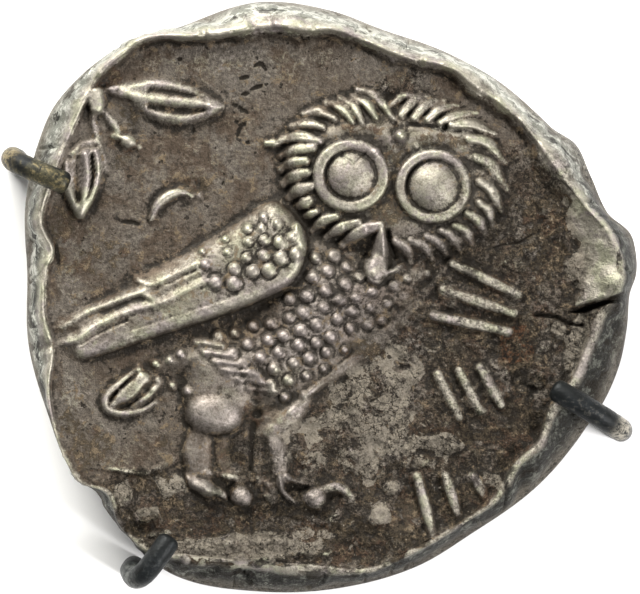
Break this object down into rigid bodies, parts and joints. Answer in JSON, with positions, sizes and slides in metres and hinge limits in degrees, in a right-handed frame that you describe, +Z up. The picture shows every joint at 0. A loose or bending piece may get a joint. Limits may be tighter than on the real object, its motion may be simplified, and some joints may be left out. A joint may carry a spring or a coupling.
{
  "type": "ancient silver coin held by wire display hooks",
  "caption": "Thick struck silver coin lying face up, with an owl, an olive sprig and a crescent in relief, and bent wire display hooks over its rim.",
  "frame": {"origin": "centre of the bounding box, on the surface that the coin lies on", "axes": "+Z up, out of the side with the owl. +Y towards the top of the owl's head. +X to the right of someone looking down on the owl with its head up."},
  "size_m": [0.0258, 0.0242, 0.006],
  "materials": {
    "struck_silver": null,
    "blackened_wire": "blackened steel wire, worn brighter on the bends"
  },
  "bodies": {
    "root": {"coin": "struck_silver", "display_hook_left": "blackened_wire", "display_hook_right": "blackened_wire", "display_hook_lower": "blackened_wire"}
  },
  "joints": []
}
